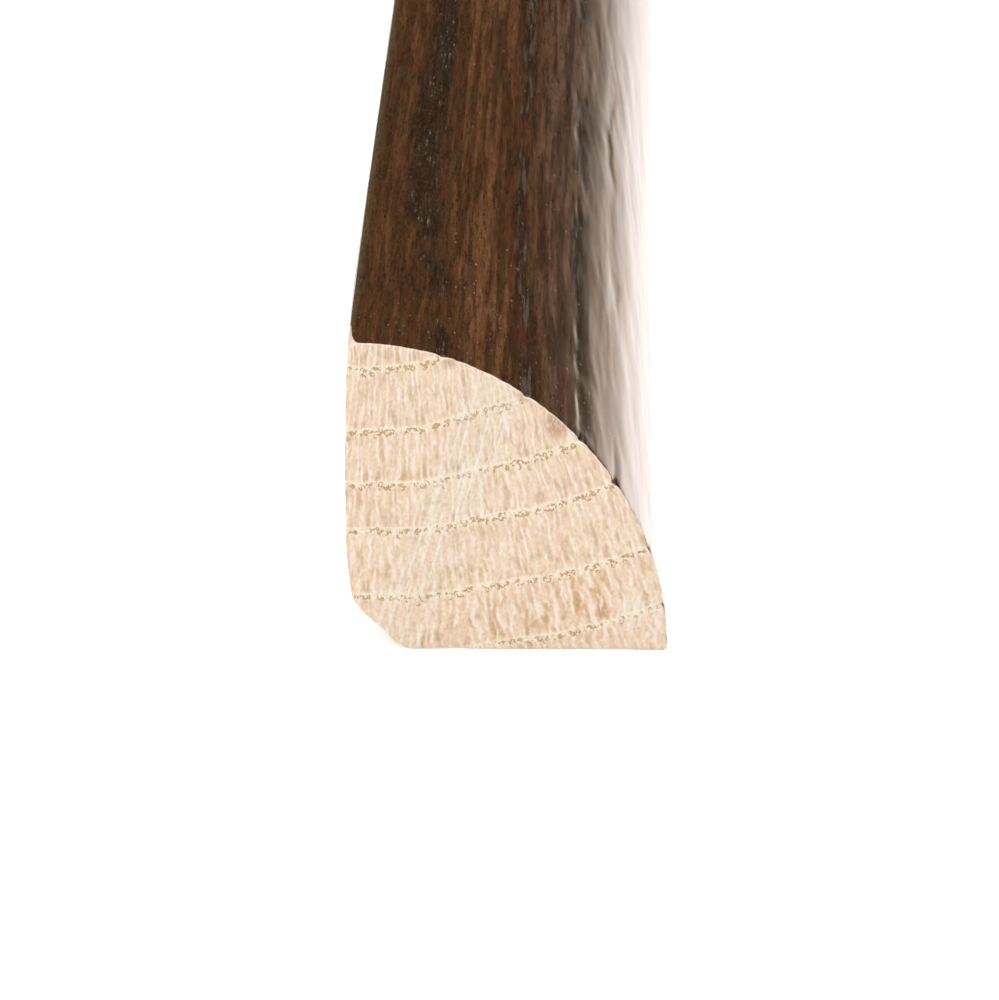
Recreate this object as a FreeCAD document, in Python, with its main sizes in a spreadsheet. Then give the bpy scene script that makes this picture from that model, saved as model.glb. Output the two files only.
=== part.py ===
"""Quarter round moulding: one length of solid oak trim.

The section is a quarter of a disc whose two equal legs are the wall face and the floor face. The curved face
between them is the show face. The corner where the legs meet is cut back, so that the moulding seats in a room
corner that isn't clean, and every long arris is eased. Both ends are sawn square.

Frame, in millimetres: +Z up from the floor face, +X from the wall face out into the room, +Y along the length.
The origin is on the floor plane, midway along the length and across the width.
"""

import math
import os

import FreeCAD
import Part
import Sketcher

DRIVING_DIMENSIONS = [
    # cell alias, millimetres, what it is
    ("stock_length", 1981.2, "length that the stock is sold in, 78 in"),
    ("leg_width", 19.05, "wall leg, floor leg and radius of the curved face, 3/4 in"),
    ("relief_width", 3.175, "leg of the cut that takes off the hidden back corner, 1/8 in"),
    ("arris_radius", 0.3, "easing of the two arrises where the curved face ends"),
    ("relief_radius", 1.0, "easing of the two arrises of the back corner cut"),
]
OUTPUT_FOLDER = "parts"
NODE_NAME = "quarter_round"


def add_dimension_sheet(doc):
    """Spreadsheet with one aliased cell for each driving dimension."""
    sheet = doc.addObject("Spreadsheet::Sheet", "dimensions")
    for row, (alias, value, meaning) in enumerate(DRIVING_DIMENSIONS, start=1):
        sheet.set(f"A{row}", meaning)
        sheet.set(f"B{row}", str(value))
        sheet.setAlias(f"B{row}", alias)
    doc.recompute()
    return sheet


def origin_plane(body, role):
    return next(feature for feature in body.Origin.OriginFeatures if feature.Role == role)


def add_section_sketch(body):
    """Closed quarter disc in the XZ plane: floor leg, curved face and wall leg, round the back corner."""
    sketch = body.newObject("Sketcher::SketchObject", "section")
    sketch.AttachmentSupport = [(origin_plane(body, "XZ_Plane"), "")]
    sketch.MapMode = "FlatFace"

    start, end, centre = 1, 2, 3
    root_point = (-1, 1)
    draft_leg = 10.0
    back_corner = FreeCAD.Vector(-draft_leg / 2, 0, 0)
    toe = back_corner + FreeCAD.Vector(draft_leg, 0, 0)
    crown = back_corner + FreeCAD.Vector(0, draft_leg, 0)
    circle = Part.Circle(back_corner, FreeCAD.Vector(0, 0, 1), draft_leg)

    floor_leg = sketch.addGeometry(Part.LineSegment(back_corner, toe), False)
    curved_face = sketch.addGeometry(Part.ArcOfCircle(circle, 0, math.pi / 2), False)
    wall_leg = sketch.addGeometry(Part.LineSegment(crown, back_corner), False)

    sketch.addConstraint(
        [
            Sketcher.Constraint("Coincident", floor_leg, end, curved_face, start),
            Sketcher.Constraint("Coincident", curved_face, end, wall_leg, start),
            Sketcher.Constraint("Coincident", wall_leg, end, floor_leg, start),
            Sketcher.Constraint("Coincident", curved_face, centre, floor_leg, start),
            Sketcher.Constraint("Horizontal", floor_leg),
            Sketcher.Constraint("Vertical", wall_leg),
            Sketcher.Constraint("PointOnObject", floor_leg, start, -1),
        ]
    )
    radius = sketch.addConstraint(Sketcher.Constraint("Radius", curved_face, draft_leg))
    offset = sketch.addConstraint(
        Sketcher.Constraint("DistanceX", floor_leg, start, *root_point, draft_leg / 2)
    )
    sketch.setExpression(f"Constraints[{radius}]", "dimensions.leg_width")
    sketch.setExpression(f"Constraints[{offset}]", "dimensions.leg_width / 2")
    return sketch


def add_length(body, sketch):
    """Runs the section along the length, half of it to each side of the origin."""
    pad = body.newObject("PartDesign::Pad", "run_of_section")
    pad.Profile = sketch
    pad.SideType = "Symmetric"
    pad.setExpression("Length", "dimensions.stock_length")
    sketch.Document.recompute()
    return pad


def long_edges(feature, spots):
    """Names of the edges that run along the length through the given (x, z) spots of the section."""
    reach = 1e-6
    names = []
    for x, z in spots:
        for number, edge in enumerate(feature.Shape.Edges, start=1):
            middle = edge.BoundBox.Center
            runs_along = edge.BoundBox.YLength > reach
            if runs_along and abs(middle.x - x) < reach and abs(middle.z - z) < reach:
                names.append(f"Edge{number}")
    if len(names) != len(spots):
        raise RuntimeError(f"{feature.Name}: found {names} for the edges at {spots}")
    return names


def add_back_relief(body, base, sheet):
    """Takes off the hidden corner between the wall face and the floor face at 45 degrees."""
    back = -sheet.leg_width / 2
    chamfer = body.newObject("PartDesign::Chamfer", "back_relief")
    chamfer.Base = (base, long_edges(base, [(back, 0)]))
    chamfer.setExpression("Size", "dimensions.relief_width")
    body.Document.recompute()
    return chamfer


def add_eased_arrises(body, base, name, spots, radius_cell):
    fillet = body.newObject("PartDesign::Fillet", name)
    fillet.Base = (base, long_edges(base, spots))
    fillet.setExpression("Radius", f"dimensions.{radius_cell}")
    body.Document.recompute()
    return fillet


def build_quarter_round(doc, sheet):
    body = doc.addObject("PartDesign::Body", NODE_NAME)
    body.Label = NODE_NAME
    back = -sheet.leg_width / 2
    toe = sheet.leg_width / 2
    crown = sheet.leg_width
    relief = sheet.relief_width

    sketch = add_section_sketch(body)
    pad = add_length(body, sketch)
    relieved = add_back_relief(body, pad, sheet)
    show_arrises = [(back, crown), (toe, 0)]
    show_eased = add_eased_arrises(body, relieved, "eased_show_arrises", show_arrises, "arris_radius")
    relief_arrises = [(back, relief), (back + relief, 0)]
    add_eased_arrises(body, show_eased, "eased_relief_arrises", relief_arrises, "relief_radius")
    return body


def check(doc, bodies):
    """Stops the build if a feature failed or a solid isn't sound."""
    for thing in doc.Objects:
        if {"Invalid", "Error"} & set(thing.State):
            raise RuntimeError(f"{thing.Name} failed: {thing.State}")
    for body in bodies:
        if body.Shape.isNull() or not body.Shape.isValid():
            raise RuntimeError(f"{body.Label} is not a valid solid")


def main():
    doc = FreeCAD.newDocument("quarter_round_moulding")
    sheet = add_dimension_sheet(doc)
    bodies = [build_quarter_round(doc, sheet)]
    doc.recompute()
    check(doc, bodies)
    os.makedirs(OUTPUT_FOLDER, exist_ok=True)
    for body in bodies:
        body.Shape.exportStep(os.path.join(OUTPUT_FOLDER, f"{body.Label}.step"))
        print(body.Label, body.Shape.BoundBox, f"volume {body.Shape.Volume:.1f} mm3")


main()
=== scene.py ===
"""Quarter round moulding in oak: stained curved face, bare backs and sawn end grain, lying on a white floor.

The piece is one closed mesh in the CAD frame. Its section repeats the sizes of the part's source. Wood runs
through it as one solid: growth rings, rays and pores are placed in the wood, so the figure of the curved face
starts at the rings of the sawn end. Lengths are in millimetres until the mesh is written.
"""

import math

import bpy
import numpy as np
from mathutils import Matrix, Vector
from mathutils.geometry import delaunay_2d_cdt


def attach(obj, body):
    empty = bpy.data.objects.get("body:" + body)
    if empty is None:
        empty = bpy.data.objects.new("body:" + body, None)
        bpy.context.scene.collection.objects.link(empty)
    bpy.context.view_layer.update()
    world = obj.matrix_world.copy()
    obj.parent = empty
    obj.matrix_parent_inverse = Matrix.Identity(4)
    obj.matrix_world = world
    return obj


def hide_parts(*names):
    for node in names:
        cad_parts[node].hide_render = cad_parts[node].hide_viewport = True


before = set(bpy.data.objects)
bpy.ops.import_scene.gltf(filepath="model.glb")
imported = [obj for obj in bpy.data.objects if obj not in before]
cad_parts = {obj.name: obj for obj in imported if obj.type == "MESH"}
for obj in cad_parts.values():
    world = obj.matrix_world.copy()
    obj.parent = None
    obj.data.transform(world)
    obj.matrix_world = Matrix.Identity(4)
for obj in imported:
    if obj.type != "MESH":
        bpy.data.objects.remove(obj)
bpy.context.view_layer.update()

MM = 0.001
TINY = 1e-6

# Sizes of the solid
LENGTH = 1981.2
LEG = 19.05
RELIEF = 3.175
ARRIS_RADIUS = 0.3
RELIEF_RADIUS = 1.0
BACK = -LEG / 2
TOE = LEG / 2

# Growth rings: heights of the porous lines above the floor face where they run level, from the pith side
# outwards, and the number of the first
RING_HEIGHTS = (24.6, 20.9, 17.25, 13.5, 10.25, 7.45, 3.35, -0.3, -4.1, -7.6, -11.4)
FIRST_RING = -2

# Where the rings run level, out from the wall face, where the pith lies from there, its height, and the
# radius at which distances round the rings are measured
LEVEL_PLACE = 0.4
PITH_PLACE = 3.0
PITH_HEIGHT = 50.0
RAY_RADIUS = 45.0

# Curvature of the rings: the least, what the ring at the crown adds, its height, and the power of growth
LEAST_BEND = 0.0195
CROWN_BEND = 0.0425
CROWN_RING_HEIGHT = 17.15
BEND_POWER = 2.4

# Share of a ring over which the face steps down to the ring's porous line, and where the line is at its full
LINE_RISE = 0.12
LINE_EDGE = 0.94

# Stretches of the first porous lines that lie open on the curved face, from the near end
OPEN_STRETCHES = {
    0: ((-9, 6), (12.5, 21.5), (25, 115)),
    1: ((-9, 8), (12, 55), (62, 115)),
    2: ((-9, 50), (58, 80)),
}

# Dark zone of those lines and of all others: shares of the ring where it starts to fade and where it ends,
# and its strength
DARK_ZONES = {0: (0.02, 0.17, 0.9), 1: (0.04, 0.2, 0.52), 2: (0.2, 0.6, 0.6)}
OTHER_DARK_ZONE = (0.04, 0.18, 0.6)

# Porous line of the flank along which the lacquer is creased, and the depth of the crease
CREASE_RING = 3
CREASE_DEPTH = 0.05

# Stretch at the near end that is meshed closely, and where the texture map cuts the rest in two
NEAR_ZONE = 103.0
MIDDLE_CUT = 1050.0

# Surfaces, in the order of the material slots
STAINED, BARE, SAWN = range(3)

# Place between the lines of a noise table, for noise over one coordinate
ONE_ROW = 0.5


def lattice_noise(a, b, seed, side=257):
    """Smooth noise from -1 to 1 over two coordinates, with one random value at each whole number. Callers
    divide a coordinate by the size of the waves."""
    table = np.random.default_rng(seed).uniform(-1, 1, (side, side))
    a, b = np.broadcast_arrays(np.asarray(a, float), np.asarray(b, float))
    low_a, low_b = np.floor(a).astype(int), np.floor(b).astype(int)
    part_a, part_b = a - low_a, b - low_b
    part_a = part_a * part_a * (3 - 2 * part_a)
    part_b = part_b * part_b * (3 - 2 * part_b)

    def value(step_a, step_b):
        return table[(low_a + step_a) % side, (low_b + step_b) % side]

    near = value(0, 0) * (1 - part_a) + value(1, 0) * part_a
    far = value(0, 1) * (1 - part_a) + value(1, 1) * part_a
    return near * (1 - part_b) + far * part_b


def raised_noise(a, b, seed):
    """The same noise from 0 to 1."""
    return 0.5 + 0.5 * lattice_noise(a, b, seed)


def smooth_step(value, low, high):
    part = np.clip((value - low) / (high - low), 0, 1)
    return part * part * (3 - 2 * part)


def bell(value, width):
    """1 at zero, fading out over a width to both sides."""
    return np.exp(-((value / width) ** 2))


# Wood


def ring_bend(height):
    """Curvature of the ring that runs level at this height: it grows towards the pith."""
    return LEAST_BEND + CROWN_BEND * (np.clip(height, 0, None) / CROWN_RING_HEIGHT) ** BEND_POWER


def grain_lift(along, z):
    """How far the rings have risen at a distance from the near end, most of all under the crown."""
    wander = 0.35 * lattice_noise(along / 170, ONE_ROW, 11)
    wander = wander + 0.12 * lattice_noise(along / 45, ONE_ROW + 3, 12)
    first_rise = np.clip(0.06 * (z - 3), 0.2, 1)
    later_fall = 0.0022 * np.clip(along - 60, 0, None)
    return first_rise * smooth_step(along, 0, 36) - later_fall + wander * smooth_step(along, 40, 160)


def ring_waver(around, along):
    """Small waves of the rings, round them and along them."""
    long = 0.12 * lattice_noise(around / 2.2, along / 60, 21)
    middle = 0.06 * lattice_noise(around / 0.8, along / 25, 22)
    short = 0.05 * lattice_noise(around / 4, along / 5, 23)
    return long + middle + short


def wood_at(x, along, z):
    """Place in the wood: distance round the ring, level height of the ring, and ring number."""
    across = x - BACK - LEVEL_PLACE
    z = z - grain_lift(along, z)
    height = z.copy()
    for _ in range(10):
        height = z - across**2 * ring_bend(height) / 2
    around = RAY_RADIUS * np.arctan2(across - PITH_PLACE, PITH_HEIGHT - z)
    height = height + ring_waver(around, along)
    numbers = FIRST_RING + np.arange(len(RING_HEIGHTS))
    ring = np.interp(-height, -np.array(RING_HEIGHTS), numbers)
    return around, height, ring


def ragged_ring(around, ring, along):
    """Ring number with the small waves that the porous lines show on the curved face."""
    waves = lattice_noise(around / 0.6, along / 3.2, 45)
    waves = waves + 0.7 * lattice_noise(around / 0.25, along / 1.9, 46)
    return ring + 0.045 * waves * smooth_step(along, 1, 6)


def within(value, start, end):
    """1 between two numbers, with soft ends."""
    outside, inside = 1, 1.5
    after_start = smooth_step(value, start - outside, start + inside)
    return after_start * smooth_step(value, end + outside, end - inside)


def open_stretch(around, ring, along):
    """Where along the length the porous line of a ring lies open on the curved face, from 0 to 1."""
    line = np.floor(ring + LINE_RISE)
    ragged = lattice_noise(around / 0.35, along / 9, 35) + lattice_noise(around / 0.14, along / 5, 36)
    stretch = smooth_step(lattice_noise((along + 4 * ragged) / 12, line * 7.3, 33), -0.6, 0.15)
    spot = along + 1.6 * ragged
    for number, places in OPEN_STRETCHES.items():
        near = sum(within(spot, start, end) for start, end in places)
        near = near + (stretch - near) * smooth_step(along, NEAR_ZONE - 9, NEAR_ZONE + 5)
        stretch = np.where(line == number, near, stretch)
    return stretch


def dark_zone(ring):
    """How much stain the open pores of a ring hold, from its porous line over a share of the ring."""
    line, part = np.floor(ring + LINE_RISE), ring % 1
    fade, end, strength = OTHER_DARK_ZONE
    zone = strength * np.maximum(1 - smooth_step(part, fade, end), smooth_step(part, LINE_EDGE, 1))
    for number, (fade, end, strength) in DARK_ZONES.items():
        wide = np.maximum(1 - smooth_step(part, fade, end), smooth_step(part, 1 - LINE_RISE, LINE_EDGE))
        zone = np.where(line == number, strength * wide, zone)
    return zone


# Section

# Spacing of the points round the section
BACK_STEP = 0.5
TOP_STEP = 0.14
CURVE_STEP = 0.12
TOE_STEP = 0.22
UPPER_ARRIS_STEP = 0.07
LOWER_ARRIS_STEP = 0.09
RELIEF_ARRIS_STEP = 0.2
CUT_STEP = 0.4

# Close stretch of the wall face under the crown, and the angle of the curve where its toe starts
TOP_BAND = 2
TOE_ANGLE_DEG = 8.0

# Rows of points along the length: stretches at the near end with their spacing, then gaps that grow up to a
# widest one, and rows at distances from the far end
NEAR_ROWS = ((0, 2, 0.25), (2, 8, 0.5), (8, NEAR_ZONE, 1.25))
FIRST_GAP = 1.35
GAP_GROWTH = 1.08
WIDEST_GAP = 22
FAR_ZONE = 12
FAR_ROWS = (8, 5, 3, 1.5, 0.6, 0.25, 0)


def line_points(start, end, step):
    start, end = np.array(start), np.array(end)
    way = end - start
    length = np.hypot(*way)
    share = np.linspace(0, 1, max(1, round(length / step)), endpoint=False)[:, None]
    normal = np.array((-way[1], way[0])) / length
    return start + way * share, np.tile(normal, (len(share), 1))


def arc_points(centre, radius, start_deg, end_deg, step):
    turn = np.radians([start_deg, end_deg])
    count = max(3, round(radius * abs(turn[1] - turn[0]) / step))
    angle = np.linspace(turn[0], turn[1], count, endpoint=False)
    normal = np.column_stack([np.cos(angle), np.sin(angle)])
    return np.array(centre) + radius * normal, normal


def section_outline():
    """Points, outward normals and surface kinds round the section, from the foot of the wall face."""
    rise = math.sqrt((LEG - ARRIS_RADIUS) ** 2 - ARRIS_RADIUS**2)
    tip = math.degrees(math.atan2(rise, ARRIS_RADIUS))
    run = RELIEF + RELIEF_RADIUS * math.tan(math.radians(22.5))
    lean = RELIEF_RADIUS * math.sqrt(0.5)
    corner = (BACK, 0)
    wall_foot, wall_top = (BACK, run), (BACK, rise - TOP_BAND)
    low_cut = (BACK + run - lean, RELIEF_RADIUS - lean)
    high_cut = (BACK + RELIEF_RADIUS - lean, run - lean)
    crown_arris, toe_arris = (BACK + ARRIS_RADIUS, rise), (BACK + rise, ARRIS_RADIUS)
    low_arris, high_arris = (BACK + run, RELIEF_RADIUS), (BACK + RELIEF_RADIUS, run)
    runs = [
        (BARE, line_points(wall_foot, wall_top, BACK_STEP)),
        (BARE, line_points(wall_top, (BACK, rise), TOP_STEP)),
        (STAINED, arc_points(crown_arris, ARRIS_RADIUS, 180, tip, UPPER_ARRIS_STEP)),
        (STAINED, arc_points(corner, LEG, tip, TOE_ANGLE_DEG, CURVE_STEP)),
        (STAINED, arc_points(corner, LEG, TOE_ANGLE_DEG, 90 - tip, TOE_STEP)),
        (STAINED, arc_points(toe_arris, ARRIS_RADIUS, 90 - tip, -90, LOWER_ARRIS_STEP)),
        (BARE, line_points((BACK + rise, 0), (BACK + run, 0), BACK_STEP)),
        (BARE, arc_points(low_arris, RELIEF_RADIUS, -90, -135, RELIEF_ARRIS_STEP)),
        (BARE, line_points(low_cut, high_cut, CUT_STEP)),
        (BARE, arc_points(high_arris, RELIEF_RADIUS, -135, -180, RELIEF_ARRIS_STEP)),
    ]
    points = np.vstack([spots for _, (spots, _) in runs])
    normals = np.vstack([ways for _, (_, ways) in runs])
    kinds = np.concatenate([np.full(len(spots), kind) for kind, (spots, _) in runs])
    return points, normals, kinds


def distances_round(points):
    """Distance round the outline to each point, and all the way round."""
    steps = np.hypot(*(np.roll(points, -1, axis=0) - points).T)
    return np.concatenate([[0], np.cumsum(steps)])


def row_places():
    """Distances of the rows of points from the near end: close together where the photograph looks."""
    fine = [np.arange(*stretch) for stretch in NEAR_ROWS]
    gap, place, coarse = FIRST_GAP, NEAR_ZONE, []
    while place < LENGTH - FAR_ZONE:
        coarse.append(place)
        gap = min(gap * GAP_GROWTH, WIDEST_GAP)
        place += gap
    return np.concatenate([*fine, coarse, LENGTH - np.array(FAR_ROWS)])


# Surface relief: depths under the true section

# Lacquered face: least depth, depth of the steps at the porous lines, and how much less that is on the flank
LEAST_DEPTH = 0.004
STEP_DEPTH = 0.07
FLANK_LOSS = 0.05


def face_relief(distance, along, around, ring):
    """Lacquered face: slanting swells, ripples and faint threads, and a step down to each porous line that
    rises again slowly. The steps are lower on the flank."""
    swells = raised_noise((distance + 0.04 * along) / 1.2, along / 13, 31)
    slant = distance + 0.08 * along + 0.4 * lattice_noise(distance / 1.6, along / 6, 39)
    ripples = raised_noise(slant / 0.5, along / 5, 37)
    fine = raised_noise(slant / 0.27, along / 2.6, 38)
    threads = raised_noise(ring * 6, along / 17, 32)
    waves = 0.055 * swells + 0.02 * ripples + 0.007 * fine + 0.004 * threads
    part = ring % 1
    step = np.where(part < 0.5, np.exp(-part / 0.16), smooth_step(part, 1 - LINE_RISE, 1))
    flank = smooth_step(ring, 2.3, 2.85)
    step = step * (STEP_DEPTH - FLANK_LOSS * flank) * (1 - 0.75 * np.exp(-along / 3))
    broken = 0.1 + 0.9 * smooth_step(lattice_noise(along / 3.5, np.round(ring) * 5.1, 40), -0.4, 0.5)
    return LEAST_DEPTH + waves + step * broken * open_stretch(around, ring, along)


def flank_crease(along, ring):
    """Wavy crease of the lacquer along a porous line of the flank, and a crack from the saw cut. The side
    towards the crown slopes gently."""
    crown_side, toe_side, crack_length = 0.19, 0.07, 5
    wave = 0.2 * lattice_noise(along / 8, ONE_ROW, 47) + 0.08 * lattice_noise(along / 3, ONE_ROW, 48)
    below = ring - CREASE_RING - wave * smooth_step(along, 0, 20)
    line = bell(below, np.where(below < 0, crown_side, toe_side))
    broken = 0.2 + 0.8 * smooth_step(lattice_noise(along / 8, ONE_ROW + 2, 49), -0.4, 0.4)
    stretch = smooth_step(along, 24, 40) * smooth_step(along, NEAR_ZONE + 40, NEAR_ZONE - 5)
    return CREASE_DEPTH * line * (broken * stretch + bell(along, crack_length))


def notches(along, ring):
    """Small breaks of the sawn edge where a porous line meets it."""
    strength = 0.6 + 0.4 * lattice_noise(np.round(ring) * 3.7, ONE_ROW, 34)
    line = bell(np.abs(ring - np.round(ring)), 0.05)
    return line * strength * (0.2 * np.exp(-along / 0.5) + 0.02 * np.exp(-along / 5))


def edge_wear(distance, along):
    """Small crumbling of the stained face at the saw cut."""
    return 0.05 * raised_noise(distance / 0.28, ONE_ROW, 44) * np.exp(-along / 0.4)


def back_relief(distance, along):
    """Planed backs: faint cutter waves and torn grain, and a ragged edge at the saw cut."""
    cutter_pitch = 2.1
    cutter = 0.5 + 0.5 * np.sin(2 * math.pi * along / cutter_pitch)
    torn = raised_noise(distance / 0.7, along / 12, 41)
    ragged = raised_noise(distance / 0.8, along / 3, 42)
    worn = smooth_step(lattice_noise(distance / 1.7, along / 6, 43), 0.1, 0.8)
    return 0.006 * cutter + 0.02 * torn + (0.03 * ragged + 0.08 * worn) * np.exp(-along / 4)


def cut_wear(x, z, distance, along):
    """How far the back corner cut has crumbled at the sawn end, most of all at its foot."""
    on_cut = smooth_step(x - BACK + z, RELIEF + 0.6, RELIEF + 0.1)
    foot = 0.4 + 0.6 * smooth_step(x - BACK, 0.4, 2.4)
    ragged = lattice_noise(distance / 0.7, along / 2.5, 50)
    return (0.15 * foot + 0.07 * ragged) * on_cut * np.exp(-along / 6)


def wall_bow(x, z, along):
    """How far the wall side lies back: it stands proud at mid height, most of all at the sawn end."""
    proud_height, foot_height = 8.5, 4
    share = 0.25 + 0.75 * np.exp(-along / 9)
    foot = 0.22 * bell(z - foot_height, 1.6) * np.exp(-along / 6)
    return (0.2 * ((z - proud_height) / 10) ** 2 * share + foot) * np.exp(-(x - BACK) / 0.4)


def crown_wear(x, z):
    """How far the crown is worn down beside the wall face."""
    return 0.2 * np.exp(-(x - BACK) / 3) * smooth_step(z, 15.5, 18.5)


def sawn_relief(x, z, seed):
    """Sawn end: shallow saw lines and fuzz."""
    lean_cos, lean_sin = 0.87, 0.49
    across_lines, along_lines = x * lean_cos - z * lean_sin, x * lean_sin + z * lean_cos
    saw = raised_noise(across_lines / 0.5, along_lines / 9, seed)
    fuzz = raised_noise(x / 0.3, z / 0.3, seed + 1)
    return 0.02 * saw + 0.02 * fuzz


def rim_wear(distance, seed):
    """How far the sawn edge has broken back along the length, round the outline."""
    ragged = raised_noise(distance / 0.35, ONE_ROW, seed)
    chips = np.clip(lattice_noise(distance / 0.9, ONE_ROW, seed + 1) - 0.55, 0, None)
    return 0.03 + 0.05 * ragged + 0.4 * chips


def chip_width(along):
    """How far the broken top corner reaches from the arris, at a distance from the near end."""
    return 0.4 * math.exp(-along / 0.7) + 0.3 * max(0, 1 - along / 5.5)


def corner_chip(points, distances, width, arris):
    """Flattens a broken corner beside the top arris, and says how far each point is stripped of its stain."""
    wall_share, soft_edge = 0.6, 0.1
    offset = distances - arris
    rows = np.flatnonzero((offset > -wall_share * width) & (offset < width))
    if len(rows) > 2:
        first, last = points[rows[0]], points[rows[-1]]
        share = ((offset[rows] - offset[rows[0]]) / (offset[rows[-1]] - offset[rows[0]]))[:, None]
        points[rows] = first + (last - first) * share
    return smooth_step(width - offset, -soft_edge, soft_edge) * smooth_step(offset, -2.0, -1.0)


# Pores of the sawn ends

# Pores: radii, depth, radii over which a pore becomes wide, clusters and gaps round a ring, how far their
# layer lies below its line, how thick it is, and the stretch of a ring that has them
PORE_RADII = (0.07, 0.17)
PORE_DEPTH = 0.035
WIDE_PORE_RADII = (0.07, 0.12)
CLUSTER_LENGTHS = (0.6, 2.0)
CLUSTER_GAPS = (0.05, 0.55)
LAYER_DROP = 0.05
LAYER_SPREAD = 0.18
PORE_STRETCH = (-5.0, 20)

# Circles of points round each pore: shares of its radius and numbers of points
PORE_CIRCLES = ((0.35, 5), (0.75, 8), (1.15, 8))

# Distances from the outline that pores and scattered points keep, and the depth of the stain in the end
PORE_MARGIN = 0.3
SCATTER_MARGIN = 0.35
STAIN_DEPTH = 0.09

# Spacing of the scattered points, pores on a millimetre of a ring, and seed of each sawn end
NEAR_END = {"step": 0.21, "density": 8.5, "seed": 61}
FAR_END = {"step": 0.5, "density": 2.0, "seed": 62}


def place_in_section(around, height, along):
    """Inverse of wood_at: section point at a place in the wood."""
    height = height - ring_waver(around, along)
    across = PITH_PLACE + around
    for _ in range(12):
        z = height + across**2 * ring_bend(height) / 2
        across = PITH_PLACE + (PITH_HEIGHT - z) * np.tan(around / RAY_RADIUS)
    lift = 0.0
    for _ in range(5):
        lift = grain_lift(along, z + lift)
    return np.column_stack([across + LEVEL_PLACE + BACK, z + lift])


def ring_pores(along, density, seed):
    """Centres, radii and turns of the large pores of each ring at a sawn end, gathered in short clusters."""
    random = np.random.default_rng(seed)
    along = np.array([along])
    start, end = PORE_STRETCH
    centres, radii, turns = [], [], []
    for ring_height in RING_HEIGHTS[1:-2]:
        around = start + random.uniform(0, 0.5)
        while around < end:
            length = random.uniform(*CLUSTER_LENGTHS)
            count = round(length * density)
            spots = around + random.uniform(0, length, count)
            layer = np.abs(random.normal(0, LAYER_SPREAD, count))
            centres.append(place_in_section(spots, ring_height - LAYER_DROP - layer, along))
            radii.append(random.uniform(*PORE_RADII, count))
            turns.append(random.uniform(-math.pi, math.pi, count))
            around += length + random.uniform(*CLUSTER_GAPS)
    return np.vstack(centres), np.concatenate(radii), np.concatenate(turns)


def inside_section(points, margin):
    x, z = points[:, 0] - BACK, points[:, 1]
    curve = np.hypot(x, z) < LEG - margin
    return curve & (x > margin) & (z > margin) & (x + z > RELIEF + 1.5 * margin)


def pore_shares(points, centres, radii, turns):
    """How deep each point lies in a pore, and how much of its dark wall it has, both from 0 to 1. A wide pore
    shows its wall on one side only."""
    wall_place, wall_width = 0.72, 0.3
    pits, walls = np.zeros(len(points)), np.zeros(len(points))
    for centre, radius, turn in zip(centres, radii, turns):
        offset = points - centre
        near = np.hypot(*offset.T) / radius
        pit = np.clip(1.3 * (1 - near**2), 0, 1)
        side = np.clip(0.45 + 0.9 * np.cos(np.arctan2(offset[:, 1], offset[:, 0]) - turn), 0, 1)
        wall = bell(near - wall_place, wall_width) * side
        wide = smooth_step(radius, *WIDE_PORE_RADII)
        pits = np.maximum(pits, pit)
        walls = np.maximum(walls, pit + (wall - pit) * wide)
    return pits, walls


def cap_points(rim, normals, centres, radii, step, seed):
    """Points inside a sawn end: a border as deep as the stain, the pores and an even scatter."""
    row_height, jitter = 0.87, 0.3
    random = np.random.default_rng(seed)
    grid_x, grid_z = np.meshgrid(np.arange(0, LEG, step), np.arange(0, LEG, step * row_height))
    grid_x = grid_x + (np.arange(len(grid_x)) % 2)[:, None] * step / 2
    grid = np.column_stack([grid_x.ravel() + BACK, grid_z.ravel()])
    grid = grid + random.uniform(-jitter, jitter, grid.shape) * step
    rims = [centres]
    for share, count in PORE_CIRCLES:
        turn = np.linspace(0, 2 * math.pi, count, endpoint=False)
        ring = np.column_stack([np.cos(turn), np.sin(turn)])
        rims.append((centres[:, None] + share * radii[:, None, None] * ring).reshape(-1, 2))
    rims = np.vstack(rims)
    rims = rims[inside_section(rims, PORE_MARGIN)]
    return np.vstack([rim - STAIN_DEPTH * normals, rims, grid[inside_section(grid, SCATTER_MARGIN)]])


def cap_mesh(rim, normals, along, step, density, seed):
    """Triangulates a sawn end inside its rim. Gives section points, the number of each among rim and inner
    points, depths, pore walls and triangles."""
    centres, radii, turns = ring_pores(along, density, seed)
    keep = inside_section(centres, PORE_MARGIN)
    centres, radii, turns = centres[keep], radii[keep], turns[keep]
    every = np.vstack([rim, cap_points(rim, normals, centres, radii, step, seed)])
    loop = list(range(len(rim)))
    inside_only = 1
    found = delaunay_2d_cdt([Vector(point) for point in every], [], [loop], inside_only, TINY)
    places = np.array([tuple(place) for place in found[0]])
    source = np.array([ids[0] for ids in found[3]])
    pits, walls = pore_shares(places, centres, radii, turns)
    depth = sawn_relief(places[:, 0], places[:, 1], seed + 7) + PORE_DEPTH * pits
    return places, source, depth, walls, np.array(found[2])


# Texture map

# Side of the map, and the rectangles of the run and the sawn ends in it, in pixels: left, low, right, high
MAP_SIDE = 1024
NEAR_STRIP = (398, 638, 896, 1018)
FIRST_STRIP = (6, 6, 1018, 310)
SECOND_STRIP = (6, 322, 1018, 626)
NEAR_CAP = (6, 638, 386, 1018)
FAR_CAP = (904, 638, 1018, 752)

# Share of the map's height that a millimetre of the backs gets, against one of the curve
BACK_SHARE = 0.5


def map_place(rectangle, share_u, share_v):
    """Map coordinates at shares of a rectangle's width and height."""
    left, low, right, high = rectangle
    u = left + (right - left) * share_u
    v = low + (high - low) * share_v
    return np.stack([u, v], axis=-1) / MAP_SIDE


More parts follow.
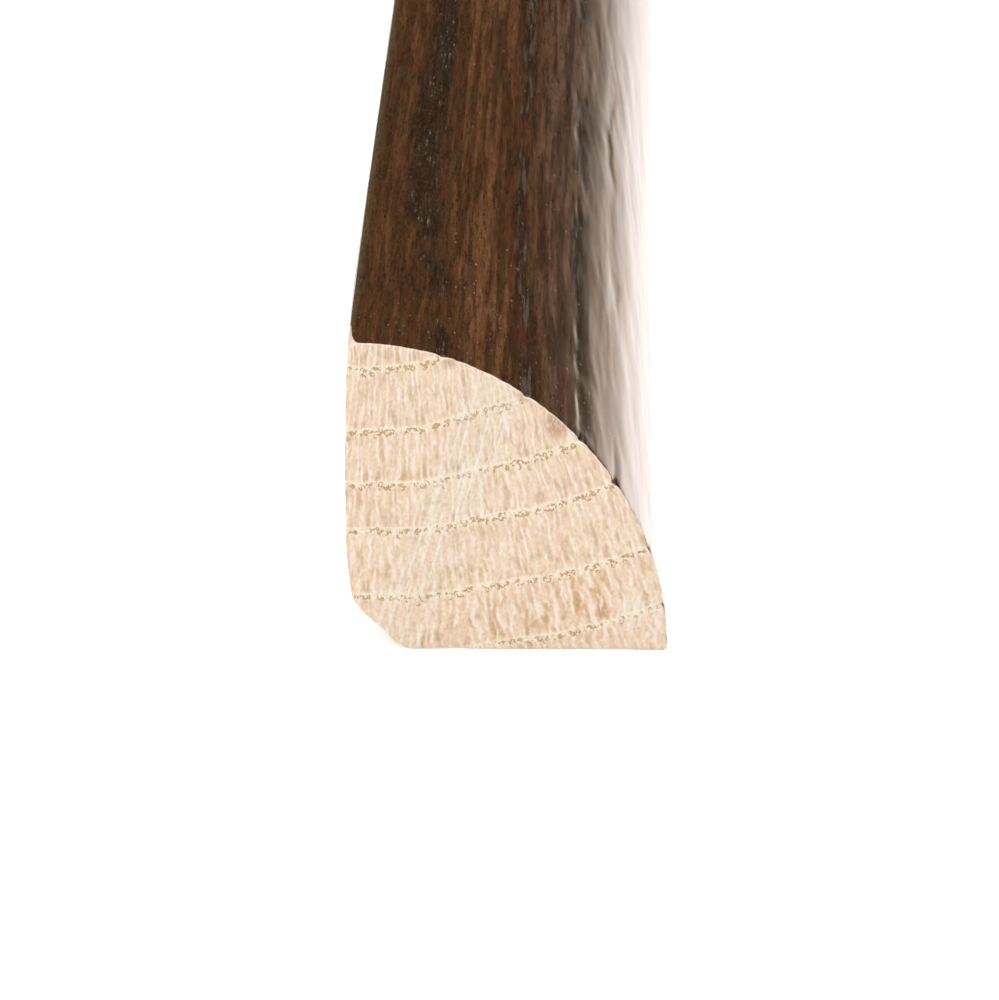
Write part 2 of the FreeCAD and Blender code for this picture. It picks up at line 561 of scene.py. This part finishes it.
def strip_maps(rows, spread):
    """Map corners of every quad of the run: three stretches of the length, each in its own rectangle."""
    middle = rows[np.argmin(np.abs(rows - MIDDLE_CUT))]
    stretches = (
        (NEAR_STRIP, 0, NEAR_ZONE),
        (FIRST_STRIP, NEAR_ZONE, middle),
        (SECOND_STRIP, middle, LENGTH),
    )
    share_v = np.stack([spread[:-1], spread[1:], spread[1:], spread[:-1]], axis=-1)[None]
    maps = []
    for rectangle, start, end in stretches:
        inside = (rows >= start - TINY) & (rows <= end + TINY)
        share = (rows[inside] - start) / (end - start)
        share_u = np.stack([share[:-1], share[:-1], share[1:], share[1:]], axis=-1)[:, None]
        maps.append(map_place(rectangle, *np.broadcast_arrays(share_u, share_v)).reshape(-1, 2))
    return np.vstack(maps)


# Mesh

# Seeds of the wear of the two sawn edges, the least width of a chip, and the angle that stays sharp
NEAR_RIM_SEED = 51
FAR_RIM_SEED = 52
LEAST_CHIP = 0.1
SHARP_DEG = 50


def run_points(rows, points, normals, kinds, distances):
    """Points of the run of the section, row by row, and how far each is stripped of its stain."""
    along = np.repeat(rows[:, None], len(points), axis=1)
    x, z = (np.broadcast_to(values, along.shape) for values in points.T)
    around, _, ring = wood_at(x, along, z)
    stained = face_relief(distances, along, around, ragged_ring(around, ring, along))
    stained += flank_crease(along, ring) + notches(along, ring) + edge_wear(distances, along)
    bare = back_relief(distances, along) + cut_wear(x, z, distances, along)
    depth = np.where(kinds == STAINED, stained, bare)
    section = points - depth[..., None] * normals
    section[..., 0] += wall_bow(x, z, along)
    section[..., 1] -= crown_wear(x, z)
    stripped = np.zeros(along.shape)
    arris = distances[np.flatnonzero(kinds == STAINED)[0]] + ARRIS_RADIUS
    for row, place in enumerate(rows):
        width = chip_width(place)
        if width > LEAST_CHIP:
            stripped[row] = corner_chip(section[row], distances, width, arris)
    along[0] += rim_wear(distances, NEAR_RIM_SEED) + notches(0.0, ring[0]) * (kinds == STAINED)
    along[-1] -= rim_wear(distances, FAR_RIM_SEED)
    return np.stack([section[..., 0], along, section[..., 1]], axis=-1), stripped


def run_faces(row_count, count):
    first = np.arange(row_count - 1)[:, None] * count
    following = first + count
    here = np.arange(count)[None]
    beside = (here + 1) % count
    quads = np.stack([first + here, first + beside, following + beside, following + here], axis=-1)
    return quads.reshape(-1, 4).tolist()


def run_values(points, kinds, stripped):
    """Point values of the run that the materials read: stain gone, pore, sawn edge, and stain run over."""
    to_crown = np.abs(points[:, 1] - LEG) + np.abs(points[:, 0] - BACK)
    to_toe = np.abs(points[:, 0] - TOE) + np.abs(points[:, 1])
    reach = np.minimum(to_crown, to_toe)
    row_count = len(stripped)
    return {
        "bare": stripped.ravel(),
        "pore": np.zeros(stripped.size),
        "rim": np.tile(np.where(kinds == STAINED, 1.0, 0.8 * np.exp(-reach / 1.2)), row_count),
        "spill": np.tile(np.exp(-reach / 1.6), row_count) * (1 - stripped.ravel()),
    }


def build_moulding():
    """One closed mesh: the run of the section and two sawn ends. Gives points, faces, material slots, map
    corners and point values."""
    points, normals, kinds = section_outline()
    round_way = distances_round(points)
    rows = row_places()
    count = len(points)
    skin, stripped = run_points(rows, points, normals, kinds, round_way[:-1])
    skin = skin.reshape(-1, 3)
    faces = run_faces(len(rows), count)
    slots = np.tile(kinds, len(rows) - 1).tolist()
    widths = np.where(kinds == STAINED, 1.0, BACK_SHARE) * np.diff(round_way)
    spread = np.concatenate([[0], np.cumsum(widths)])
    maps = [strip_maps(rows, spread / spread[-1])]
    values = run_values(points, kinds, stripped)

    for row, end, rectangle in ((0, NEAR_END, NEAR_CAP), (len(rows) - 1, FAR_END, FAR_CAP)):
        near = row == 0
        first = row * count
        rim = skin[first : first + count][:, (0, 2)]
        spots, source, depth, shares, triangles = cap_mesh(rim, normals, rows[row], **end)
        fresh = np.flatnonzero(source >= count)
        index = first + source
        index[fresh] = len(skin) + np.arange(len(fresh))
        along = depth if near else LENGTH - depth
        skin = np.vstack([skin, np.column_stack([spots[:, 0], along, spots[:, 1]])[fresh]])
        fresh_values = {"bare": 1.0, "pore": shares[fresh], "rim": 0.0, "spill": 0.0}
        for name, value in fresh_values.items():
            values[name] = np.concatenate([values[name], np.broadcast_to(value, len(fresh))])
        turned = triangles if near else triangles[:, ::-1]
        faces += index[turned].tolist()
        slots += [SAWN] * len(turned)
        corner = ((spots - (BACK, 0)) / LEG)[turned].reshape(-1, 2)
        maps.append(map_place(rectangle, corner[:, 0], corner[:, 1]))
    return skin, faces, slots, np.vstack(maps), values


def add_object(name, data):
    thing = bpy.data.objects.new(name, data)
    bpy.context.scene.collection.objects.link(thing)
    return thing


def write_mesh(name, verts, faces, slots, maps, values):
    mesh = bpy.data.meshes.new(name)
    metres = (verts - (0, LENGTH / 2, 0)) * MM
    mesh.from_pydata(metres.tolist(), [], faces)
    mesh.polygons.foreach_set("material_index", slots)
    around, height, ring = wood_at(verts[:, 0], verts[:, 1], verts[:, 2])
    grain = np.column_stack([around, verts[:, 1], height])
    mesh.attributes.new("grain", "FLOAT_VECTOR", "POINT").data.foreach_set("vector", grain.ravel())
    ragged = ragged_ring(around, ring, verts[:, 1])
    porous = dark_zone(ragged) * open_stretch(around, ragged, verts[:, 1])
    for label, numbers in {"ring": ring, "porous": porous, **values}.items():
        mesh.attributes.new(label, "FLOAT", "POINT").data.foreach_set("value", numbers)
    layer = mesh.uv_layers.new(name="OFBake")
    layer.uv.foreach_set("vector", maps.astype(np.float32).ravel())
    mesh.shade_smooth()
    mesh.set_sharp_from_angle(angle=math.radians(SHARP_DEG))
    mesh.validate()
    return add_object(name, mesh)


# Materials


def srgb(red, green, blue):
    """Linear colour of an 8-bit screen colour."""
    parts = np.array([red, green, blue]) / 255
    linear = np.where(parts <= 0.04045, parts / 12.92, ((parts + 0.055) / 1.055) ** 2.4)
    return (*linear.tolist(), 1.0)


# Colours of the stained face
STAIN_BROWN = srgb(82, 51, 29)
STAIN_WARM = srgb(124, 82, 52)
FLANK_PAINTED_SHEEN = srgb(131, 101, 80)
STAIN_BAND = srgb(58, 36, 19)
STAIN_STREAK = srgb(66, 41, 21)
STAIN_OLIVE = srgb(82, 64, 38)
STAIN_RED = srgb(94, 52, 34)
STAIN_IN_PORES = srgb(45, 32, 18)
STAIN_FILM = srgb(104, 78, 56)
STAIN_VESSEL = srgb(42, 24, 11)
ARRIS_PAINTED_SHEEN = srgb(108, 97, 72)
# Painted glint and painted sheen of the open porous lines
PAINTED_PORE_GLINT = srgb(158, 150, 138)
PAINTED_PORE_SHEEN = srgb(136, 119, 102)
DUST = srgb(205, 190, 175)
CHIP_DARK = srgb(240, 214, 188)
CHIP_PALE = srgb(253, 238, 220)

# Colours of the planed backs
PLANED_TAN = srgb(226, 196, 160)
PLANED_PALE = srgb(240, 217, 186)
PLANED_POROUS = srgb(196, 158, 116)
PLANED_VESSEL = srgb(168, 128, 88)
STAIN_RUN = srgb(88, 62, 42)

# Colours of the sawn ends
SAWN_YELLOW = srgb(244, 220, 190)
SAWN_PINK = srgb(242, 213, 187)
SAWN_TAN = srgb(207, 174, 134)
SAWN_RAY = srgb(255, 239, 224)
SAWN_LINE = srgb(254, 241, 217)
SAWN_SPECK = srgb(198, 152, 88)
SAWN_PORE = srgb(176, 132, 76)
SAWN_SOAKED = srgb(176, 130, 92)
SAWN_SMEAR = srgb(236, 225, 210)
SAWN_SCRATCH = srgb(253, 246, 236)
PALE_RIM = srgb(254, 240, 228)
DARK_RIM = srgb(120, 88, 62)
RED_TINT = (0.89, 0.77, 0.67, 1)

# Saw scratches of the near end: lean of the band that holds them, its place, and their own leans
SAW_LEAN_DEG = -20.6
SAW_BAND = 6.34
SCRATCH_LEANS_DEG = (-17, -14)

# Wood rays that cross a millimetre of the end grain
RAYS_PER_MM = 2.1

# Where stain soaked into the near end, and where its wood is redder: place from the back corner, reach and
# strength
SOAKED_SPOTS = (((12.4, 13.9), 1.1, 0.7), ((10.5, 15.6), 0.5, 0.7), ((6.1, 17.7), 0.6, 0.5))
RED_ZONES = (
    ((14.4, 3.2), 2.9, 1.0),
    ((10.5, 2.2), 4.5, 0.4),
    ((5.5, 1.8), 3.0, 0.25),
    ((1.6, 9.6), 2.0, 0.15),
)

# Place near the toe where the saw smeared the end: place and reach
TOE_SMEAR = ((17.6, 2.4), 2.4)

# Painted glints in the open pores: cells in a millimetre round, along and across the rings, and the share
# left empty
PAINTED_GLINTS = (((3.8, 0.6, 3.8), 0.55), ((2.6, 0.25, 2.6), 0.4))

# Dust on the stained face: cells in a millimetre, and how far from the saw cut it gets scarce
DUST_LAYERS = ((1.7, 40.0), (2.4, 40.0), (3.2, 26.0), (3.9, 16.0))

LACQUER_ROUGHNESS = 0.16


class Nodes:
    """Short forms for the nodes of a material or of the world."""

    def __init__(self, owner):
        owner.use_nodes = True
        self.owner = owner
        self.tree = owner.node_tree
        self.shader = self.tree.nodes.get("Principled BSDF")

    def new(self, kind):
        return self.tree.nodes.new("ShaderNode" + kind)

    def put(self, socket, value):
        if isinstance(value, bpy.types.NodeSocket):
            self.tree.links.new(value, socket)
        else:
            socket.default_value = value

    def give(self, name, value):
        self.put(self.shader.inputs[name], value)

    def attribute(self, name, output="Fac"):
        node = self.new("Attribute")
        node.attribute_name = name
        return node.outputs[output]

    def place(self, space="Object"):
        return self.new("TexCoord").outputs[space]

    def turned(self, turn_deg, shift):
        """Place in millimetres, turned about the length and then shifted across."""
        node = self.new("Mapping")
        self.put(node.inputs["Vector"], self.place())
        self.put(node.inputs["Location"], (shift, 0, 0))
        self.put(node.inputs["Rotation"], (0, math.radians(turn_deg), 0))
        self.put(node.inputs["Scale"], (1 / MM, 1 / MM, 1 / MM))
        return node.outputs[0]

    def vector(self, operation, first):
        node = self.new("VectorMath")
        node.operation = operation
        self.put(node.inputs[0], first)
        return node

    def scaled(self, vector, scale):
        node = self.vector("MULTIPLY", vector)
        self.put(node.inputs[1], scale)
        return node.outputs[0]

    def parts(self, vector):
        node = self.new("SeparateXYZ")
        self.put(node.inputs[0], vector)
        return node.outputs[0], node.outputs[1], node.outputs[2]

    def noise(self, vector, scale, detail=2.0, roughness=0.5):
        node = self.new("TexNoise")
        self.put(node.inputs["Vector"], self.scaled(vector, scale))
        self.put(node.inputs["Scale"], 1.0)
        self.put(node.inputs["Detail"], detail)
        self.put(node.inputs["Roughness"], roughness)
        return node.outputs["Fac"]

    def cells(self, vector, scale):
        """Distance to the nearest of scattered points, and three random numbers for that point."""
        node = self.new("TexVoronoi")
        self.put(node.inputs["Vector"], self.scaled(vector, scale))
        self.put(node.inputs["Scale"], 1.0)
        return node.outputs["Distance"], self.parts(node.outputs["Color"])

    def math(self, operation, first, second=0.0):
        node = self.new("Math")
        node.operation = operation
        self.put(node.inputs[0], first)
        self.put(node.inputs[1], second)
        return node.outputs[0]

    def times(self, first, *others):
        for other in others:
            first = self.math("MULTIPLY", first, other)
        return first

    def ramp(self, value, low, high, start=0.0, end=1.0):
        """Goes smoothly from start to end while the value goes from low to high."""
        node = self.new("MapRange")
        node.interpolation_type = "SMOOTHSTEP"
        self.put(node.inputs[0], value)
        for socket, number in zip(node.inputs[1:5], (low, high, start, end)):
            socket.default_value = number
        return node.outputs[0]

    def near(self, value, middle, inner, outer):
        """1 within a distance of a number, fading to 0 at a larger distance."""
        away = self.math("ABSOLUTE", self.math("SUBTRACT", value, middle))
        return self.ramp(away, inner, outer, 1, 0)

    def spot(self, place, reach):
        """1 at a point of the section, in millimetres from the back corner, fading to 0 at a distance."""
        node = self.vector("DISTANCE", self.scaled(self.place(), (1, 0, 1)))
        self.put(node.inputs[1], ((place[0] + BACK) * MM, 0, place[1] * MM))
        return self.ramp(node.outputs["Value"], 0.3 * reach * MM, reach * MM, 1, 0)

    def mix(self, share, first, second, blend="MIX"):
        node = self.new("Mix")
        node.data_type = "RGBA"
        node.blend_type = blend
        self.put(node.inputs[0], share)
        self.put(node.inputs[6], first)
        self.put(node.inputs[7], second)
        return node.outputs[2]

    def shade(self, colour, value):
        """Colour times a number."""
        node = self.vector("SCALE", colour)
        self.put(node.inputs["Scale"], value)
        return node.outputs[0]

    def bump(self, height, depth):
        node = self.new("Bump")
        self.put(node.inputs["Strength"], 1.0)
        self.put(node.inputs["Distance"], depth * MM)
        self.put(node.inputs["Height"], height)
        return node.outputs["Normal"]

    def finish(self, colour, roughness, normal):
        self.give("Base Color", colour)
        self.give("Roughness", roughness)
        self.give("Normal", normal)
        return self.owner


def stain_bands(n, grain, ring, streak):
    """Brown stain: warm bands between the first rings, dark bands and streaks, olive and red tints, and a
    painted sheen towards the flank.
    """
    broad = n.noise(grain, (0.8, 0.014, 0.8))
    band = n.noise(grain, (1.2, 0.035, 1.2), 1.0)
    tint = n.noise(grain, (1.6, 0.12, 1.6))
    second_band = n.times(n.near(ring, 1.75, 0.1, 0.4), 0.4)
    warm_bands = n.math("ADD", n.near(ring, 0.5, 0.15, 0.42), second_band)
    warmth = n.math("ADD", n.ramp(broad, 0.4, 0.65, 0, 0.6), n.times(warm_bands, 0.7))
    colour = n.mix(warmth, STAIN_BROWN, STAIN_WARM)
    # Painted sheen: lighter, greyer brown towards the flank
    colour = n.mix(n.ramp(ring, 0.9, 1.7, 0, 0.75), colour, FLANK_PAINTED_SHEEN)
    colour = n.mix(n.ramp(band, 0.47, 0.6, 0, 0.7), colour, STAIN_BAND)
    colour = n.mix(n.ramp(streak, 0.45, 0.68, 0, 0.8), colour, STAIN_STREAK)
    colour = n.mix(n.ramp(tint, 0.52, 0.68, 0, 0.5), colour, STAIN_OLIVE)
    return n.mix(n.ramp(tint, 0.48, 0.32, 0, 0.5), colour, STAIN_RED)


def lit_pores(n, colour, grain, ring, open_line):
    """Painted light on the open porous lines: painted glints in single pores, and painted sheen in long
    streaks.
    """
    part = n.math("FRACT", ring)
    upper = n.math("MAXIMUM", n.ramp(part, 0.05, 0.14, 1, 0), n.ramp(part, 0.88, 0.95))
    flecks = n.ramp(n.noise(grain, (9.0, 1.4, 9.0), 1.0), 0.4, 0.6)
    # Painted glints: pale specks where single open pores would catch light
    for scale, scarce in PAINTED_GLINTS:
        away, (choice, bright, _) = n.cells(grain, scale)
        painted_glint = n.times(n.ramp(choice, scarce, scarce + 0.25), n.ramp(away, 0.1, 0.42, 1, 0))
        painted_glint = n.times(painted_glint, n.ramp(open_line, 0.1, 0.42), upper)
        colour = n.mix(n.times(painted_glint, bright, flecks, 0.7), colour, PAINTED_PORE_GLINT)
    sheen = n.ramp(n.noise(grain, (3.0, 0.16, 3.0)), 0.47, 0.64)
    # Painted sheen: pale grey streaks on the open porous lines where their walls would catch light
    painted_sheen = n.times(n.ramp(open_line, 0.05, 0.4), upper, sheen, n.ramp(ring, 0.4, 0.8, 0.07, 0.4))
    return n.mix(painted_sheen, colour, PAINTED_PORE_SHEEN)


def saw_dust(n, colour, grain, ring):
    """Specks of dust, most near the saw cut and few on the crown."""
    along = n.parts(grain)[1]
    crown = n.ramp(ring, -0.1, 0.35, 0.4, 0.0)
    for scale, end in DUST_LAYERS:
        away, (choice, bright, _) = n.cells(grain, (scale, 0.3 * scale, scale))
        scarce = n.math("ADD", n.ramp(along, 2.0, end, 0.3, 0.88), crown)
        dust = n.times(n.math("GREATER_THAN", choice, scarce), n.ramp(away, 0.04, 0.19, 1, 0))
        colour = n.mix(n.times(dust, bright, bright, 0.55), colour, DUST)
    return colour


def stain_material():
    """Dark walnut stain under satin lacquer: dark porous lines, warm bands, open grain and dust, with painted
    glints and painted sheen.
    """
    n = Nodes(bpy.data.materials.new("stained_oak_face"))
    grain = n.attribute("grain", "Vector")
    ring = n.attribute("ring")
    open_line = n.attribute("porous")
    streak = n.noise(grain, (2.1, 0.09, 2.1))
    thread = n.noise(grain, (4.2, 0.3, 4.2))
    vessel = n.noise(grain, (6.5, 0.65, 6.5), 1.0)
    film = n.noise(grain, (4.5, 1.6, 4.5), roughness=0.6)
    speckle = n.noise(grain, (10.0, 3.2, 10.0), 1.0)

    colour = stain_bands(n, grain, ring, streak)
    broken = n.math("ADD", open_line, n.ramp(thread, 0.3, 0.7, -0.3, 0.3))
    porous = n.times(n.ramp(broken, 0.1, 0.8), n.ramp(open_line, 0.0, 0.25), 0.9)
    colour = n.mix(porous, colour, STAIN_IN_PORES)
    colour = n.shade(colour, n.ramp(thread, 0.25, 0.75, 0.76, 1.24))
    colour = n.mix(n.ramp(film, 0.45, 0.75, 0, 0.4), colour, STAIN_FILM)
    colour = n.shade(colour, n.ramp(speckle, 0.25, 0.75, 0.86, 1.14))
    lines = n.ramp(vessel, 0.57, 0.7)
    colour = n.mix(n.times(lines, 0.6), colour, STAIN_VESSEL)
    # Painted sheen along the rounded top arris beside the wall face
    arris_sheen = n.ramp(n.parts(n.place())[0], (BACK + 0.1) * MM, (BACK + 0.8) * MM, 0.9, 0)
    colour = n.mix(n.times(arris_sheen, n.ramp(film, 0.35, 0.65, 0.45, 1.0)), colour, ARRIS_PAINTED_SHEEN)
    colour = lit_pores(n, colour, grain, ring, open_line)
    colour = saw_dust(n, colour, grain, ring)
    raw = n.mix(thread, CHIP_DARK, CHIP_PALE)
    colour = n.mix(n.ramp(n.attribute("bare"), 0.35, 0.65), colour, raw)

    n.give("Specular IOR Level", 0.0)
    n.give("Coat Weight", 1.0)
    n.give("Coat Roughness", LACQUER_ROUGHNESS)
    height = n.math("SUBTRACT", n.times(thread, 0.6), n.times(lines, 0.5))
    return n.finish(colour, n.ramp(streak, 0.3, 0.7, 0.4, 0.6), n.bump(height, 0.02))


def bare_material():
    """Planed oak of the wall face, floor face and back corner cut, with stain run over from the curve."""
    n = Nodes(bpy.data.materials.new("bare_oak_back"))
    grain = n.attribute("grain", "Vector")
    part = n.math("FRACT", n.attribute("ring"))
    streak = n.noise(grain, (1.8, 0.03, 1.8), 3.0)
    thread = n.noise(grain, (7.0, 0.1, 7.0), 3.0)
    vessel = n.noise(grain, (13.0, 0.18, 13.0))
    patch = n.noise(grain, (0.5, 0.04, 0.5), 4.0)
    colour = n.mix(n.ramp(streak, 0.3, 0.7), PLANED_TAN, PLANED_PALE)
    porous = n.times(n.ramp(part, 0.05, 0.25, 1, 0), 0.5)
    colour = n.mix(porous, colour, PLANED_POROUS)
    colour = n.shade(colour, n.ramp(thread, 0.25, 0.75, 0.92, 1.06))
    lines = n.ramp(vessel, 0.58, 0.68)
    colour = n.mix(n.times(lines, 0.55), colour, PLANED_VESSEL)
    run = n.math("ADD", n.attribute("spill"), n.ramp(patch, 0.2, 0.8, -0.6, 0.4))
    colour = n.mix(n.times(n.ramp(run, 0.35, 0.6), 0.85), colour, STAIN_RUN)
    height = n.math("SUBTRACT", thread, lines)
    return n.finish(colour, n.ramp(thread, 0.3, 0.7, 0.6, 0.75), n.bump(height, 0.04))


def wavy_rays(n, grain):
    """Rays of the end grain, from 0 to 1: they sway, and fade in places."""
    wide_sway = n.times(n.noise(grain, (0.6, 1.0, 0.35), 1.0), 2.6)
    small_sway = n.times(n.noise(grain, (2.2, 1.0, 1.1), 1.0), 1.1)
    sway = n.math("ADD", wide_sway, small_sway)
    ray_part = n.math("FRACT", n.math("ADD", n.times(n.parts(grain)[0], RAYS_PER_MM), sway))
    faint = n.noise(grain, (2.2, 1.0, 0.7), roughness=0.6)
    return n.times(n.near(ray_part, 0.5, 0.04, 0.4), n.ramp(faint, 0.35, 0.65, 0.1, 0.95))


def end_grain(n, grain, part, grit, lump):
    """Fibre, rays, redder places and pale porous lines of a sawn end."""
    blotch = n.noise(grain, (0.5, 1.0, 0.45))
    rays = wavy_rays(n, grain)
    late = n.ramp(part, 0.1, 1.0, 0.55, 1.0)
    colour = n.mix(n.ramp(blotch, 0.4, 0.62), SAWN_YELLOW, SAWN_PINK)
    colour = n.mix(n.times(n.ramp(lump, 0.42, 0.7), late, 0.9), colour, SAWN_TAN)
    colour = n.mix(rays, colour, SAWN_RAY)
    colour = n.shade(colour, n.ramp(grit, 0.25, 0.75, 0.88, 1.09))
    fibre = n.times(n.ramp(rays, 0.1, 0.5, 1.0, 0.2), n.ramp(lump, 0.42, 0.58, 0.2, 1.0))
    for place, reach, strength in RED_ZONES:
        red = n.times(n.spot(place, reach), fibre, strength)
        colour = n.mix(red, colour, RED_TINT, "MULTIPLY")
    pale = n.math("MAXIMUM", n.ramp(part, 0.03, 0.15, 1, 0), n.ramp(part, 0.93, 0.99))
    return n.mix(n.times(pale, n.ramp(grit, 0.35, 0.6, 0.35, 0.95)), colour, SAWN_LINE)


def pores_and_stain(n, colour, grain, part, grit):
    """Specks and pores of the porous lines, and spots where stain soaked in."""
    speck = n.ramp(n.noise(grain, (8.0, 1.0, 8.0), 1.0), 0.55, 0.68)
    colour = n.mix(n.times(n.near(part, 0.05, 0.03, 0.09), speck, 0.6), colour, SAWN_SPECK)
    crumb = n.noise(grain, (16.0, 1.0, 16.0), 1.0)
    pore = n.times(n.ramp(n.attribute("pore"), 0.1, 0.7), n.ramp(crumb, 0.3, 0.55, 0.2, 0.9))
    colour = n.mix(pore, colour, SAWN_PORE)
    for place, reach, strength in SOAKED_SPOTS:
        soaked = n.times(n.spot(place, reach), n.ramp(grit, 0.3, 0.6), strength)
        colour = n.mix(soaked, colour, SAWN_SOAKED)
    return colour


def saw_marks(n, colour, grit):
    """Smeared band and toe with pale scratches. Gives the colour and the scratches."""
    smear = n.turned(SAW_LEAN_DEG, SAW_BAND)
    toe = n.times(n.spot(*TOE_SMEAR), 0.7)
    band = n.math("MAXIMUM", n.near(n.parts(smear)[0], 0.0, 0.7, 2.2), toe)
    colour = n.mix(n.times(band, n.ramp(grit, 0.35, 0.6), 0.25), colour, SAWN_SMEAR)
    scratch = 0.0
    for lean in SCRATCH_LEANS_DEG:
        way = n.turned(lean, 3 * lean)
        line = n.ramp(n.noise(way, (4.6, 1.0, 0.24), 0.0), 0.62, 0.7)
        scratch = n.math("MAXIMUM", scratch, line)
    scratch = n.times(scratch, band)
    return n.mix(n.times(scratch, n.ramp(grit, 0.3, 0.6, 0.25, 0.65)), colour, SAWN_SCRATCH), scratch


def edge_tone(n, colour, grit, lump):
    """Edge of a sawn end under the stained face: pale above, with dark patches of stain below."""
    rim = n.attribute("rim")
    low = n.ramp(n.parts(n.place())[2], 5 * MM, 14 * MM, 1, 0)
    high = n.math("SUBTRACT", 1.0, low)
    pale = n.times(n.ramp(rim, 0.05, 0.5), high, n.ramp(grit, 0.35, 0.55, 0.1, 0.5))
    colour = n.mix(pale, colour, PALE_RIM)
    dark = n.times(n.ramp(rim, 0.3, 0.8), low, n.ramp(lump, 0.5, 0.65, 0.05, 0.7))
    return n.mix(dark, colour, DARK_RIM)


def sawn_material():
    """End grain of oak: pale porous lines, tan fibre between wavy rays, pores and saw marks."""
    n = Nodes(bpy.data.materials.new("sawn_oak_end"))
    grain = n.attribute("grain", "Vector")
    part = n.math("FRACT", n.attribute("ring"))
    grit = n.noise(grain, (5.5, 1.0, 4.0), roughness=0.6)
    lump = n.noise(grain, (1.7, 1.0, 0.8), roughness=0.55)
    colour = end_grain(n, grain, part, grit, lump)
    colour = pores_and_stain(n, colour, grain, part, grit)
    colour, scratch = saw_marks(n, colour, grit)
    colour = edge_tone(n, colour, grit, lump)
    height = n.math("ADD", grit, n.times(scratch, 0.5))
    return n.finish(colour, n.ramp(grit, 0.3, 0.7, 0.75, 0.9), n.bump(height, 0.03))


# Stage: lengths in metres, except for the camera's

FLOOR_HALF = 40.0
FLOOR_COLOUR = (0.9, 0.9, 0.9, 1)
FLOOR_GLOW = 0.55
WHITE = (1, 1, 1, 1)

# Glow of the floor that only gloss sees, standing in for a strip light beside the moulding that the lacquer
# mirrors, in a close strip and a wide one: colour, and the two places across the floor between which it goes
# from one share to another
CLOSE_STRIP = ((0.85, 0.85, 0.98), (0.012, 0.036, 1.0, 0.0))
WIDE_STRIP = ((1.16, 0.97, 0.79), (0.015, 0.25, 1.0, 0.2))

# The two places along the length between which both strips go from one strength to another
STRIP_FADE = (-0.97, -0.57, 1.0, 0.25)

# The two heights on the sky between which it goes from one strength to another
SKY_RISE = (0.5, 0.8, 0.01, 1.75)

SOFTBOX = {"place": (-0.5, -3.2, 1.6), "target": (0, -0.95, 0), "width": 2.0, "height": 1.4, "watts": 25}

CAMERA_PLACE = (5.27, -1333.86, 120.67)
CAMERA_YAW_DEG = 0.9515
CAMERA_PITCH_DEG = 17.974
LENS = 221.9
CAMERA_REACH = (0.01, 200)


def floor_material():
    """White floor that keeps the shadow of what stands on it. In gloss it shows only as a glowing strip
    beside the moulding.
    """
    n = Nodes(bpy.data.materials.new("white_floor"))
    path = n.new("LightPath").outputs
    seen = n.math("MAXIMUM", path["Is Camera Ray"], path["Is Transmission Ray"])
    n.give("Base Color", FLOOR_COLOUR)
    n.give("Roughness", 1.0)
    n.give("Specular IOR Level", 0.0)
    n.give("Emission Color", WHITE)
    n.give("Emission Strength", n.times(seen, FLOOR_GLOW))
    across, away, _ = n.parts(n.place())
    close, wide = (n.shade(colour, n.ramp(across, *fade)) for colour, fade in (CLOSE_STRIP, WIDE_STRIP))
    strip = n.new("Emission")
    n.put(strip.inputs["Color"], n.mix(1.0, close, wide, "ADD"))
    n.put(strip.inputs["Strength"], n.ramp(away, *STRIP_FADE))
    choose = n.new("MixShader")
    n.put(choose.inputs[0], path["Is Glossy Ray"])
    n.put(choose.inputs[1], n.shader.outputs[0])
    n.put(choose.inputs[2], strip.outputs[0])
    n.put(n.tree.nodes["Material Output"].inputs["Surface"], choose.outputs[0])
    n.owner.cycles.emission_sampling = "NONE"
    return n.owner


def build_floor():
    mesh = bpy.data.meshes.new("floor")
    low, high = -FLOOR_HALF, FLOOR_HALF
    corners = [(low, low, 0), (high, low, 0), (high, high, 0), (low, high, 0)]
    mesh.from_pydata(corners, [], [(0, 1, 2, 3)])
    mesh.materials.append(floor_material())
    floor = add_object("floor", mesh)


def build_world():
    """Soft light from overhead, dim near the horizon, with a white ground for the camera."""
    world = bpy.data.worlds.new("studio")
    bpy.context.scene.world = world
    n = Nodes(world)
    background = n.tree.nodes["Background"]
    choose = n.new("Mix")
    n.put(choose.inputs[0], n.new("LightPath").outputs["Is Camera Ray"])
    n.put(choose.inputs[2], n.ramp(n.parts(n.place("Generated"))[2], *SKY_RISE))
    n.put(choose.inputs[3], 1.0)
    n.put(background.inputs["Strength"], choose.outputs[0])
    n.put(background.inputs["Color"], WHITE)


def add_soft_lamp(name, place, target, width, height, watts):
    light = bpy.data.lights.new(name, "AREA")
    light.shape = "RECTANGLE"
    light.size, light.size_y, light.energy = width, height, watts
    lamp = add_object(name, light)
    lamp.location = place
    lamp.rotation_euler = (Vector(target) - Vector(place)).to_track_quat("-Z", "Y").to_euler()
    lamp.visible_camera = False


def build_camera():
    data = bpy.data.cameras.new("camera")
    data.lens = LENS
    data.clip_start, data.clip_end = CAMERA_REACH
    camera = add_object("camera", data)
    turn = Matrix.Rotation(math.radians(CAMERA_YAW_DEG), 4, "Z")
    tilt = Matrix.Rotation(math.radians(90 - CAMERA_PITCH_DEG), 4, "X")
    camera.matrix_world = Matrix.Translation(Vector(CAMERA_PLACE) * MM) @ turn @ tilt
    bpy.context.scene.camera = camera


def main():
    bpy.context.scene.view_settings.view_transform = "Standard"
    build_camera()
    build_floor()
    build_world()
    add_soft_lamp("front_softbox", **SOFTBOX)
    piece = write_mesh("quarter_round_oak", *build_moulding())
    for material in (stain_material(), bare_material(), sawn_material()):
        piece.data.materials.append(material)
    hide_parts("quarter_round")
    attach(piece, "root")


main()
